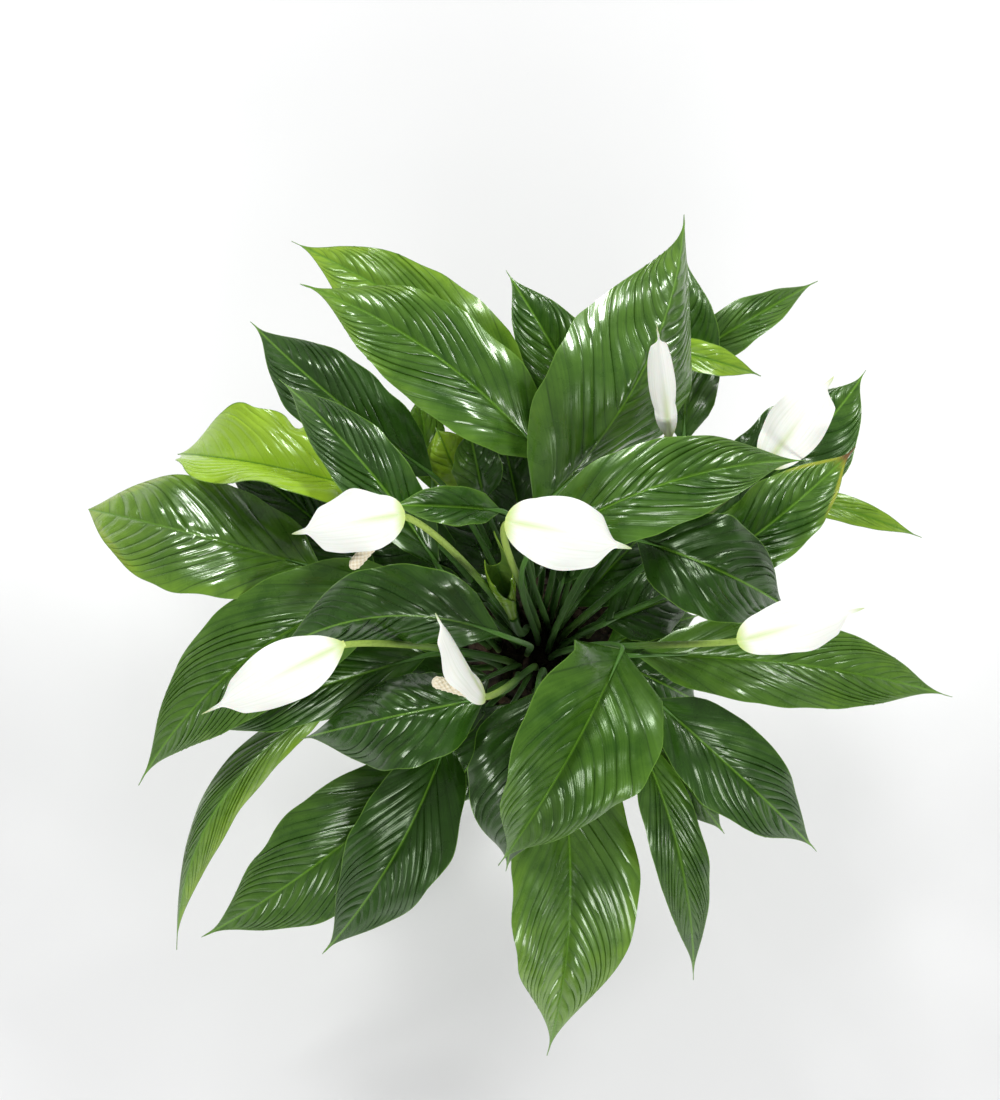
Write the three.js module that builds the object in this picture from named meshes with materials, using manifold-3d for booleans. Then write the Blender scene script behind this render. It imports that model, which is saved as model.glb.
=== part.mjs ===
// A peace lily in a plain pot: a clump of long-stalked glossy leaves with seven white flowers.
// Millimetres, +Z up. The origin is the centre of the pot's underside, and +Y is the plant's far side.
// A leaf is one solid, stalk and blade. A flower is three: its stalk, its white hood and its spike.
import * as THREE from "three";
import Module from "manifold-3d";
import { mergeVertices } from "three/addons/utils/BufferGeometryUtils.js";

// ---- pot and soil ----
const POT_HEIGHT = 150;
const POT_RIM_RADIUS = 76;
const POT_FOOT_RADIUS = 54;
const POT_WALL = 5;
const POT_FLOOR = 7;
const RIM_BAND = 18; // height of the thicker band round the mouth
const RIM_LIP = 3; // how far that band stands out from the side
const DRAIN_HOLES = 5;
const DRAIN_RADIUS = 5;
const DRAIN_CIRCLE = 30;
const SOIL_TOP = 134;
const GAP = 0.3; // clearance between pieces that touch
const ROUND_SEGMENTS = 48;

// ---- leaves ----
const STALK_RADIUS = 2.0; // a leaf's stalk where it meets the blade
const SHEATH_RADIUS = 2.8; // and where it leaves the soil
const BLADE_HALF_THICK = 0.7;
const MIDRIB_DEPTH = 1.3; // the keel under the blade, at its base
const WIDEST_AT = 0.42; // along the blade, unless the leaf says otherwise

// ---- flowers ----
const FLOWER_STALK_RADIUS = 2.1;
const HOOD_HALF_THICK = 0.7;
const TAIL_STARTS = 0.76; // along the hood
const HOOD_SLIM = 0.6; // blunt where it leaves its stalk
const HOOD_SEAT = 5; // the hood's base sits on the last few millimetres of the stalk
const SPIKE_RADIUS = 4.6;
const SPIKE_NECK_RADIUS = 2.0;
const SPIKE_NECK = 6;

// ---- colours ----
const GREEN = { color: 0x2c5a22, roughness: 0.35, metalness: 0 };
const YOUNG = { color: 0x7fb02c, roughness: 0.4, metalness: 0 };
const STALK_GREEN = { color: 0x8fb046, roughness: 0.45, metalness: 0 };
const WHITE = { color: 0xf7f6f0, roughness: 0.5, metalness: 0 };
const CREAM = { color: 0xf0e3c4, roughness: 0.8, metalness: 0 };
const GLAZE = { color: 0xeeece6, roughness: 0.3, metalness: 0 };
const EARTH = { color: 0x2e2118, roughness: 0.95, metalness: 0 };

// foot: where the stalk leaves the soil. base: where the blade leaves its stalk. tip: the end of its
// drip tip. width: at its widest, laid flat. arch: how far the midrib rises above the straight line
// from base to tip, halfway. bow: the same to the left, seen from above. roll: degrees the left half
// is raised and the right half lowered. fold: degrees both halves are raised.
const LEAVES = [
  { name: "leaf_01", foot: [-1, 36], base: [-10, 170, 345], tip: [-170, 270, 330],
    width: 58, arch: 35, bow: 0, roll: 0, fold: 6 },
  { name: "leaf_02", foot: [2, 28], base: [0, 115, 395], tip: [-160, 230, 390],
    width: 68, arch: 30, bow: -10, roll: 0, fold: 10 },
  { name: "leaf_03", foot: [6, 20], base: [-5, 80, 390], tip: [90, 270, 420],
    width: 110, arch: 40, bow: -22, roll: 28, fold: -28 },
  { name: "leaf_04", foot: [9, 36], base: [40, 140, 300], tip: [-25, 250, 330],
    width: 50, arch: 20, bow: 0, roll: 0, fold: 10 },
  { name: "leaf_05", foot: [15, 21], base: [95, 135, 320], tip: [95, 255, 360],
    width: 46, arch: 20, bow: 0, roll: 0, fold: 8 },
  { name: "leaf_06", foot: [22, 31], base: [75, 175, 320], tip: [190, 250, 290],
    width: 32, arch: 25, bow: 0, roll: 0, fold: 15 },
  { name: "leaf_07", foot: [8, 25], base: [70, 190, 375], tip: [145, 175, 350],
    width: 22, arch: 15, bow: 0, roll: 0, fold: 15, young: true },
  { name: "leaf_08", foot: [-23, 28], base: [-75, 108, 275], tip: [-85, 172, 300],
    width: 30, arch: 15, bow: 0, roll: 0, fold: 15 },
  { name: "leaf_09", foot: [-16, 23], base: [-75, 110, 345], tip: [-200, 220, 300],
    width: 58, arch: 25, bow: 5, roll: 0, fold: 8 },
  { name: "leaf_10", foot: [-16, 7], base: [-70, 45, 400], tip: [-175, 170, 370],
    width: 45, arch: 35, bow: -5, roll: 0, fold: 8 },
  { name: "leaf_11", foot: [-26, 20], base: [-115, 96, 370], tip: [-250, 130, 290],
    width: 76, arch: 40, bow: 0, roll: 28, fold: 32, wide: 0.45, young: true, taper: 0.5 },
  { name: "leaf_12", foot: [-37, 6], base: [-150, 48, 320], tip: [-315, 95, 260],
    width: 82, arch: 30, bow: 0, roll: 10, fold: -4, wide: 0.5, taper: 0.35 },
  { name: "leaf_13", foot: [-38, 16], base: [-115, 50, 298], tip: [-230, 145, 264],
    width: 50, arch: 20, bow: 0, roll: 0, fold: 8 },
  { name: "leaf_14", foot: [-30, 10], base: [-86, 38, 350], tip: [-283, -96, 220],
    width: 76, arch: 35, bow: -22, roll: 0, fold: 8 },
  { name: "leaf_15", foot: [-9, 1], base: [-30, 0, 400], tip: [-180, -10, 345],
    width: 68, arch: 40, bow: -15, roll: -32, fold: -32 },
  { name: "leaf_16", foot: [-27, -11], base: [-80, -10, 320], tip: [-250, -60, 260],
    width: 46, arch: 25, bow: 0, roll: 0, fold: -8 },
  { name: "leaf_17", foot: [-35, -9], base: [-145, -40, 270], tip: [-265, -215, 130],
    width: 38, arch: 40, bow: -26, roll: 0, fold: -40 },
  { name: "leaf_18", foot: [-27, -28], base: [-70, -75, 250], tip: [-245, -205, 150],
    width: 80, arch: 30, bow: 9, roll: 0, fold: 6 },
  { name: "leaf_19", foot: [-22, -20], base: [-65, -65, 300], tip: [-155, -215, 190],
    width: 68, arch: 35, bow: 10, roll: 0, fold: 6 },
  { name: "leaf_20", foot: [-16, -15], base: [-40, -40, 360], tip: [-165, -65, 290],
    width: 72, arch: 35, bow: 0, roll: 18, fold: -22 },
  { name: "leaf_21", foot: [-9, 35], base: [-40, 95, 330], tip: [-50, 140, 360],
    width: 34, arch: 10, bow: 0, roll: 0, fold: 15 },
  { name: "leaf_22", foot: [3, -16], base: [-5, -36, 335], tip: [-25, -155, 268],
    width: 74, arch: 35, bow: 0, roll: 0, fold: 6 },
  { name: "leaf_23", foot: [8, -2], base: [50, -10, 390], tip: [-30, -150, 330],
    width: 100, arch: 45, bow: 4, roll: -22, fold: 22, wide: 0.35 },
  { name: "leaf_24", foot: [5, -26], base: [10, -65, 258], tip: [5, -290, 145],
    width: 95, arch: 45, bow: 12, roll: -12, fold: 18 },
  { name: "leaf_25", foot: [20, -28], base: [65, -65, 290], tip: [110, -235, 160],
    width: 38, arch: 35, bow: 8, roll: 0, fold: 10 },
  { name: "leaf_26", foot: [23, -15], base: [75, -40, 320], tip: [192, -142, 230],
    width: 60, arch: 30, bow: 0, roll: 0, fold: 6 },
  { name: "leaf_27", foot: [28, -22], base: [70, -60, 240], tip: [130, -130, 200],
    width: 34, arch: 20, bow: 0, roll: 0, fold: 10 },
  { name: "leaf_28", foot: [27, -8], base: [65, -10, 325], tip: [285, -35, 250],
    width: 60, arch: 35, bow: 6, roll: 0, fold: 8 },
  { name: "leaf_29", foot: [6, 3], base: [60, 60, 410], tip: [165, 20, 330],
    width: 68, arch: 40, bow: 0, roll: 0, fold: 8 },
  { name: "leaf_30", foot: [28, 15], base: [100, 40, 330], tip: [210, 130, 330],
    width: 52, arch: 25, bow: -4, roll: 0, fold: 8 },
  { name: "leaf_31", foot: [28, 22], base: [110, 80, 290], tip: [220, 185, 310],
    width: 72, arch: 25, bow: -9, roll: 0, fold: 8 },
  { name: "leaf_32", foot: [35, 14], base: [155, 110, 260], tip: [268, 78, 230],
    width: 20, arch: 20, bow: 0, roll: 0, fold: 15, young: true },
  { name: "leaf_33", foot: [-1, 9], base: [-3, 56, 430], tip: [170, 110, 420],
    width: 58, arch: 40, bow: 10, roll: 0, fold: 8, wide: 0.36 },
  { name: "leaf_34", foot: [-16, 32], base: [-55, 105, 320], tip: [-72, 142, 340],
    width: 36, arch: 10, bow: 0, roll: 0, fold: 15, young: true },
  { name: "leaf_35", foot: [-5, 27], base: [-30, 80, 400], tip: [-100, 80, 432],
    width: 28, arch: 12, bow: 0, roll: 0, fold: 25 },
  { name: "leaf_36", foot: [21, 8], base: [47, 2, 235], tip: [112, 24, 224],
    width: 36, arch: 15, bow: 0, roll: 0, fold: 10 },
];

// The unopened leaf at the heart of the clump: a rolled spear.
const SPEAR = { name: "leaf_37", foot: [-9, 20], base: [-20, 17, 290], tip: [-36, 66, 380], radius: 8 };

// foot: of the stalk. base and tip: of the hood, which bends and rolls as a leaf does.
// droop: degrees that the spike hangs below the hood. swing: degrees that it stands off to the left.
// spike: the spike's length.
const FLOWERS = [
  { name: "flower_1", foot: [-15, 13], base: [-88, 70, 475], tip: [-160, 60, 450],
    width: 42, arch: 9, bow: 0, roll: 0, fold: -22, droop: 36, swing: 42, spike: 44 },
  { name: "flower_2", foot: [-1, 17], base: [-26, 64, 495], tip: [53, 49, 470],
    width: 48, arch: 10, bow: 0, roll: 0, fold: -20, droop: 28, spike: 42 },
  { name: "flower_3", foot: [-17, -8], base: [-127, -8, 435], tip: [-220, -52, 408],
    width: 43, arch: 10, bow: 0, roll: 0, fold: -20, droop: 28, spike: 44, slim: 1 },
  { name: "flower_4", foot: [-3, -9], base: [-38, -42, 430], tip: [-69, 9, 470],
    width: 38, arch: 8, bow: 0, roll: 68, fold: -24, droop: 44, spike: 28 },
  { name: "flower_5", foot: [9, 15], base: [78, 120, 450], tip: [66, 180, 530],
    width: 27, arch: 6, bow: 0, roll: 0, fold: -50, droop: 24, spike: 30, slim: 1 },
  { name: "flower_6", foot: [14, 11], base: [141, 107, 415], tip: [182, 160, 450],
    width: 40, arch: 8, bow: 0, roll: 0, fold: -20, droop: 28, spike: 36 },
  { name: "flower_7", foot: [19, 1], base: [121, -7, 435], tip: [203, 15, 425],
    width: 38, arch: 8, bow: 0, roll: 0, fold: -22, droop: 32, swing: -14, spike: 40 },
];

const UP = new THREE.Vector3(0, 0, 1);
const plant = new THREE.Group();
plant.name = "peace_lily";

function addPiece(name, geometry, finish) {
  const mesh = new THREE.Mesh(geometry, new THREE.MeshStandardMaterial(finish));
  mesh.name = name;
  plant.add(mesh);
  return mesh;
}

// ---- a closed skin over a run of cross-sections ----
// Each station is a ring of points. The first ring is closed by a fan, the last runs to a single point.
function skin(rings, startPoint, endPoint) {
  const count = rings[0].length;
  const positions = [];
  const faces = [];
  for (const ring of rings) {
    for (const point of ring) positions.push(point.x, point.y, point.z);
  }
  positions.push(startPoint.x, startPoint.y, startPoint.z);
  positions.push(endPoint.x, endPoint.y, endPoint.z);
  const start = rings.length * count;
  const end = start + 1;
  const lastRing = (rings.length - 1) * count;
  for (let i = 0; i < count; i += 1) {
    const next = (i + 1) % count;
    faces.push(start, next, i);
    faces.push(end, lastRing + i, lastRing + next);
    for (let ring = 0; ring < rings.length - 1; ring += 1) {
      const low = ring * count;
      const high = low + count;
      faces.push(low + i, low + next, high + next);
      faces.push(low + i, high + next, high + i);
    }
  }
  const geometry = new THREE.BufferGeometry();
  geometry.setAttribute("position", new THREE.Float32BufferAttribute(positions, 3));
  geometry.setIndex(faces);
  geometry.computeVertexNormals();
  return geometry;
}

// The frame of a curve: along it, to its left and out of its upper face.
function frameOf(curve, u, left, rollDegrees) {
  const point = curve.getPoint(u);
  const along = curve.getTangent(u);
  const side = left.clone().addScaledVector(along, -left.dot(along)).normalize();
  const face = new THREE.Vector3().crossVectors(along, side);
  const roll = THREE.MathUtils.degToRad(rollDegrees);
  const rolledSide = side.clone().multiplyScalar(Math.cos(roll)).addScaledVector(face, Math.sin(roll));
  const rolledFace = face.clone().multiplyScalar(Math.cos(roll)).addScaledVector(side, -Math.sin(roll));
  return { point, along, side: rolledSide, face: rolledFace };
}

// An eight-point section: thin at its two edges, and deeper under the middle by the midrib.
function bladeRing(frame, halfWidth, halfThick, rib, foldDegrees) {
  const fold = THREE.MathUtils.degToRad(foldDegrees);
  const outline = [[1, 0], [0.5, 0.85], [0, 1], [-0.5, 0.85], [-1, 0], [-0.5, -0.85], [0, -1], [0.5, -0.85]];
  return outline.map(([s, t]) => {
    const across = halfWidth * s * Math.cos(fold);
    const keel = s === 0 && t < 0 ? rib : 0;
    const out = halfWidth * Math.abs(s) * Math.sin(fold) + halfThick * t - keel;
    return frame.point.clone().addScaledVector(frame.side, across).addScaledVector(frame.face, out);
  });
}

// The half width of a blade of unit half width: round at its base, drawn out to a drip tip.
function outlineAt(u, widest, taper) {
  const bend = Math.log(0.5) / Math.log(widest);
  return Math.pow(Math.sin(Math.PI * Math.pow(u, bend)), 0.35 + 0.4 * taper + 1.4 * taper * u ** 5);
}

// The same for a hood: pinched to a narrow tail at its tip. slim: how lens-shaped it is.
function hoodOutlineAt(u, slim) {
  const pinch = 1 - 0.8 * THREE.MathUtils.smoothstep(u, TAIL_STARTS, TAIL_STARTS + 0.12);
  return pinch * Math.pow(Math.sin(Math.PI * Math.pow(u, 0.8)), slim);
}

function footOf(piece) {
  return new THREE.Vector3(piece.foot[0], piece.foot[1], SOIL_TOP + GAP);
}

// The midrib of a blade, and the direction to its left seen from above.
function midribOf(shape) {
  const base = new THREE.Vector3(...shape.base);
  const tip = new THREE.Vector3(...shape.tip);
  const heading = tip.clone().sub(base).setZ(0).normalize();
  const left = new THREE.Vector3(-heading.y, heading.x, 0);
  const control = base.clone().lerp(tip, 0.5);
  control.addScaledVector(UP, 2 * shape.arch).addScaledVector(left, 2 * shape.bow);
  return { curve: new THREE.QuadraticBezierCurve3(base, control, tip), left };
}

// A stalk rises from the soil, leans out and runs straight on into whatever it carries.
function stalkTo(foot, end, direction, ease) {
  const lift = foot.clone().setZ(THREE.MathUtils.lerp(foot.z, end.z, 0.5));
  const approach = end.clone().addScaledVector(direction, -ease * foot.distanceTo(end));
  return new THREE.CubicBezierCurve3(foot, lift, approach, end);
}

function leafGeometry(leaf) {
  const midrib = midribOf(leaf);
  const start = midrib.curve.getPoint(0);
  const foot = footOf(leaf);
  const stalk = stalkTo(foot, start, midrib.curve.getTangent(0), 0.14);
  const rings = [];
  for (const u of [0, 0.22, 0.45, 0.68, 0.86]) {
    const radius = THREE.MathUtils.lerp(SHEATH_RADIUS, STALK_RADIUS, u);
    rings.push(bladeRing(frameOf(stalk, u, midrib.left, 0), radius, radius, 0, 0));
  }
  for (const u of [0, 0.06, 0.16, 0.3, 0.45, 0.6, 0.74, 0.86, 0.94]) {
    const open = Math.min(1, u / 0.16);
    const width = 0.5 * leaf.width * outlineAt(u, leaf.wide ?? WIDEST_AT, leaf.taper ?? 1);
    const halfWidth = Math.max(width, STALK_RADIUS * (1 - u));
    const halfThick = THREE.MathUtils.lerp(STALK_RADIUS, BLADE_HALF_THICK, open);
    const rib = MIDRIB_DEPTH * open * (1 - u);
    const frame = frameOf(midrib.curve, u, midrib.left, leaf.roll * open);
    rings.push(bladeRing(frame, halfWidth, halfThick, rib, leaf.fold * open));
  }
  return skin(rings, foot, midrib.curve.getPoint(1));
}

function tubeGeometry(curve, left, steps, radiusAt) {
  const rings = [];
  for (let i = 0; i < steps; i += 1) {
    const u = i / steps;
    const frame = frameOf(curve, u, left, 0);
    const ring = [];
    for (let k = 0; k < 6; k += 1) {
      const turn = (k / 6) * 2 * Math.PI;
      const across = frame.side.clone().multiplyScalar(radiusAt(u) * Math.cos(turn));
      ring.push(frame.point.clone().add(across).addScaledVector(frame.face, radiusAt(u) * Math.sin(turn)));
    }
    rings.push(ring);
  }
  return skin(rings, curve.getPoint(0), curve.getPoint(1));
}

// ---- the pot: a turned wall with a band at its mouth, and a ring of drain holes ----
async function makePot() {
  const foot = POT_FOOT_RADIUS;
  const rim = POT_RIM_RADIUS;
  const bandBottom = POT_HEIGHT - RIM_BAND;
  const lean = (rim - RIM_LIP - foot) / POT_HEIGHT;
  const profile = [
    [0, 0],
    [foot - 2, 0],
    [foot, 2],
    [foot + lean * bandBottom, bandBottom],
    [rim, bandBottom + 2],
    [rim, POT_HEIGHT - 2],
    [rim - 2, POT_HEIGHT],
    [rim - POT_WALL - 1, POT_HEIGHT],
    [foot + lean * bandBottom - POT_WALL, bandBottom],
    [foot - POT_WALL, POT_FLOOR + 3],
    [foot - POT_WALL - 3, POT_FLOOR],
    [0, POT_FLOOR],
  ].map(([r, z]) => new THREE.Vector2(r, z));
  const turned = new THREE.LatheGeometry(profile, ROUND_SEGMENTS);
  turned.rotateX(Math.PI / 2);

  const solids = await Module();
  solids.setup();
  const toSolid = (geometry) => {
    const bare = new THREE.BufferGeometry();
    bare.setAttribute("position", geometry.getAttribute("position"));
    bare.setIndex(geometry.getIndex());
    const merged = mergeVertices(bare, 1e-4);
    const vertProperties = new Float32Array(merged.getAttribute("position").array);
    const triVerts = new Uint32Array(merged.getIndex().array);
    return new solids.Manifold(new solids.Mesh({ numProp: 3, vertProperties, triVerts }));
  };
  let body = toSolid(turned);
  for (let i = 0; i < DRAIN_HOLES; i += 1) {
    const turn = ((i + 0.5) / DRAIN_HOLES) * 2 * Math.PI;
    const hole = new THREE.CylinderGeometry(DRAIN_RADIUS, DRAIN_RADIUS, 3 * POT_FLOOR, 16);
    hole.rotateX(Math.PI / 2);
    hole.translate(DRAIN_CIRCLE * Math.cos(turn), DRAIN_CIRCLE * Math.sin(turn), 0);
    body = body.subtract(toSolid(hole));
  }
  const cut = body.getMesh();
  const geometry = new THREE.BufferGeometry();
  geometry.setAttribute("position", new THREE.BufferAttribute(cut.vertProperties, 3));
  geometry.setIndex(new THREE.BufferAttribute(cut.triVerts, 1));
  geometry.computeVertexNormals();
  return geometry;
}

// The soil follows the pot's inside a little way clear of it, and rounds over at its edge.
function makeSoil() {
  const bottom = POT_FLOOR + 3 + GAP;
  const edge = POT_HEIGHT - RIM_BAND - 6;
  const lean = (POT_RIM_RADIUS - RIM_LIP - POT_FOOT_RADIUS) / POT_HEIGHT;
  const inner = (z) => POT_FOOT_RADIUS - POT_WALL + lean * (z - POT_FLOOR - 3) - 2 * GAP;
  const profile = [
    [0, bottom],
    [inner(bottom), bottom],
    [inner(edge), edge],
    [inner(edge) - 4, SOIL_TOP - 1],
    [inner(edge) - 10, SOIL_TOP],
    [0, SOIL_TOP],
  ].map(([r, z]) => new THREE.Vector2(r, z));
  const geometry = new THREE.LatheGeometry(profile, ROUND_SEGMENTS);
  geometry.rotateX(Math.PI / 2);
  return geometry;
}

// ---- a flower: the stalk runs on into the spike, and the hood is seated on top of the stalk's end ----
function addFlower(flower) {
  const hood = midribOf(flower);
  const start = frameOf(hood.curve, 0, hood.left, flower.roll);
  const foot = footOf(flower);
  const seat = FLOWER_STALK_RADIUS + HOOD_HALF_THICK + GAP;
  const stalkEnd = start.point.clone().addScaledVector(start.face, -seat);
  stalkEnd.addScaledVector(start.along, HOOD_SEAT);
  const stalk = stalkTo(foot, stalkEnd, start.along, 0.06);
  const stalkRadius = (u) => FLOWER_STALK_RADIUS + 0.5 * (1 - u);
  addPiece(`${flower.name}_stalk`, tubeGeometry(stalk, hood.left, 10, stalkRadius), STALK_GREEN);

  const rings = [];
  for (const u of [0, 0.06, 0.15, 0.3, 0.46, 0.62, 0.76, 0.88]) {
    const halfWidth = Math.max(0.5 * flower.width * hoodOutlineAt(u, flower.slim ?? HOOD_SLIM), FLOWER_STALK_RADIUS * (1 - u));
    const open = Math.min(1, u / 0.2);
    const frame = frameOf(hood.curve, u, hood.left, flower.roll);
    rings.push(bladeRing(frame, halfWidth, HOOD_HALF_THICK, 0, flower.fold * open));
  }
  addPiece(`${flower.name}_spathe`, skin(rings, start.point, hood.curve.getPoint(1)), WHITE);

  const top = SPIKE_NECK + flower.spike;
  const profile = [
    [0, 0],
    [SPIKE_NECK_RADIUS, 0],
    [SPIKE_NECK_RADIUS, SPIKE_NECK - 1],
    [SPIKE_RADIUS - 0.4, SPIKE_NECK + 1],
    [SPIKE_RADIUS, SPIKE_NECK + 0.4 * flower.spike],
    [SPIKE_RADIUS - 0.8, SPIKE_NECK + 0.8 * flower.spike],
    [SPIKE_RADIUS - 2.4, top - 1],
    [0, top],
  ].map(([r, y]) => new THREE.Vector2(r, y));
  const spike = new THREE.LatheGeometry(profile, 8);
  const droop = THREE.MathUtils.degToRad(flower.droop);
  const swing = THREE.MathUtils.degToRad(flower.swing ?? 0);
  const axis = start.along.clone().multiplyScalar(Math.cos(droop) * Math.cos(swing));
  axis.addScaledVector(start.side, Math.sin(swing) * Math.cos(droop));
  axis.addScaledVector(start.face, -Math.sin(droop));
  const turn = new THREE.Quaternion().setFromUnitVectors(new THREE.Vector3(0, 1, 0), axis);
  spike.applyQuaternion(turn);
  const tilt = axis.angleTo(start.along);
  const root = stalkEnd.clone().addScaledVector(start.along, 2 * GAP + SPIKE_NECK_RADIUS * Math.sin(tilt));
  spike.translate(root.x, root.y, root.z);
  addPiece(`${flower.name}_spadix`, spike, CREAM);
}

function addSpear() {
  const spear = midribOf({ ...SPEAR, arch: 6, bow: 0 });
  const foot = footOf(SPEAR);
  const base = spear.curve.getPoint(0);
  const stalk = stalkTo(foot, base, spear.curve.getTangent(0), 0.3);
  const path = new THREE.CurvePath();
  path.add(stalk);
  path.add(spear.curve);
  const split = foot.distanceTo(base) / (foot.distanceTo(base) + base.distanceTo(spear.curve.getPoint(1)));
  const radiusAt = (u) => {
    if (u < split) return THREE.MathUtils.lerp(SHEATH_RADIUS, 3.4, u / split);
    const v = (u - split) / (1 - split);
    return 3.4 + (SPEAR.radius - 3.4) * Math.sin(Math.PI * Math.pow(v, 0.7)) - 2 * v;
  };
  addPiece(SPEAR.name, tubeGeometry(path, spear.left, 18, radiusAt), YOUNG);
}

addPiece("pot", await makePot(), GLAZE);
addPiece("soil", makeSoil(), EARTH);
for (const leaf of LEAVES) {
  addPiece(leaf.name, leafGeometry(leaf), leaf.young ? YOUNG : GREEN);
}
addSpear();
for (const flower of FLOWERS) addFlower(flower);

export default plant;
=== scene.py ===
"""A peace lily in a plain white pot: glossy quilted leaves on long stalks, and seven white flowers.

Metres, +Z up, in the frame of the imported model: the origin is the centre of the pot's underside and
+Y is the plant's far side. The tables below are in millimetres and are turned into metres by
`in_metres`, the one place where they are read.
"""
import math
import random

import bpy
import numpy as np
from mathutils import Matrix, Vector, noise


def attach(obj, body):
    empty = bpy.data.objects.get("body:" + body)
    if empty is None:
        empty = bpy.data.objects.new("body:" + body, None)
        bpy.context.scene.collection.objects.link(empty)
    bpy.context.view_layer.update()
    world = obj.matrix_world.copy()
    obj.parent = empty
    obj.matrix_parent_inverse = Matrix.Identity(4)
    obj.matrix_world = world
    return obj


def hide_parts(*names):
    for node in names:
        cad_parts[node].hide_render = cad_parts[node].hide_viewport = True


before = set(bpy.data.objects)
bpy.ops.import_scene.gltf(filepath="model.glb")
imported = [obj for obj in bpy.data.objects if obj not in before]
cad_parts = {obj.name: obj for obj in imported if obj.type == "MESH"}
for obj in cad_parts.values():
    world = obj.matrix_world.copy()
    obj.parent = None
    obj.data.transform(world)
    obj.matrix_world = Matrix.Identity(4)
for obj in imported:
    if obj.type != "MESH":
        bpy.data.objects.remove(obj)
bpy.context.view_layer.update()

MM = 0.001
UP = np.array([0.0, 0.0, 1.0])

# ---- pot and soil ----
POT_HEIGHT = 150 * MM
POT_RIM_RADIUS = 76 * MM
POT_FOOT_RADIUS = 54 * MM
POT_WALL = 5 * MM
POT_FLOOR = 7 * MM
RIM_BAND = 18 * MM
RIM_LIP = 3 * MM
DRAIN_HOLES = 5
DRAIN_RADIUS = 5 * MM
DRAIN_CIRCLE = 30 * MM
SOIL_TOP = 134 * MM
SOIL_RADIUS = 63 * MM
CHIPS = 190

# ---- leaves ----
STALK_RADIUS = 2.0 * MM
STALK_FOOT = 2.5 * MM
STALK_TOP = 1.6 * MM
STALK_EASE = 0.14  # the share of a stalk, next to its blade, that runs in line with it
BURIED = 6 * MM  # every stalk starts this far under the soil's surface
BLADE_THICK = 0.6 * MM
SHARPEST = 0.2 * MM  # a blade or a hood is never narrower than twice this
WIDEST_AT = 0.42  # along the blade, unless its row says otherwise
COLUMNS = 26  # of faces across a blade
ROWS_PER_VEIN = 9  # of faces
VEIN_SPACING = 14 * MM
FEWEST_VEINS, MOST_VEINS = 7, 19
VEIN_SWEEP = 1.2  # how far a side vein runs forward on its way to the margin
MIDRIB_GROOVE = 1.3 * MM
CROWN = 0.30  # how far each half of a blade bulges between its midrib and its margin
QUILT = 0.08  # how far it bulges between two veins, as a share of their spacing
COCKLE = 0.11  # how far it buckles, as a share of its half width
EDGE_SWAY = 0.10  # how unevenly its margins run
SPEAR_VEINS = 9

# ---- flowers ----
FLOWER_STALK_RADIUS = 2.1 * MM
HOOD_THICK = 0.5 * MM
HOOD_SEAT = 5 * MM
TAIL_STARTS = 0.76
HOOD_GAP = 1.0 * MM
SPIKE_RADIUS = 4.6 * MM
HOOD_SLIM = 0.6
HOOD_SWAY = 0.09
SPIKE_WAIST = 1.9 * MM  # the spike's radius on its smooth neck
FLORET_ROUND = 7
FLORET_ROWS = 2.0 * MM
FLORET_RELIEF = 0.42 * MM
SPIKE_NECK = 6 * MM

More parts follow.
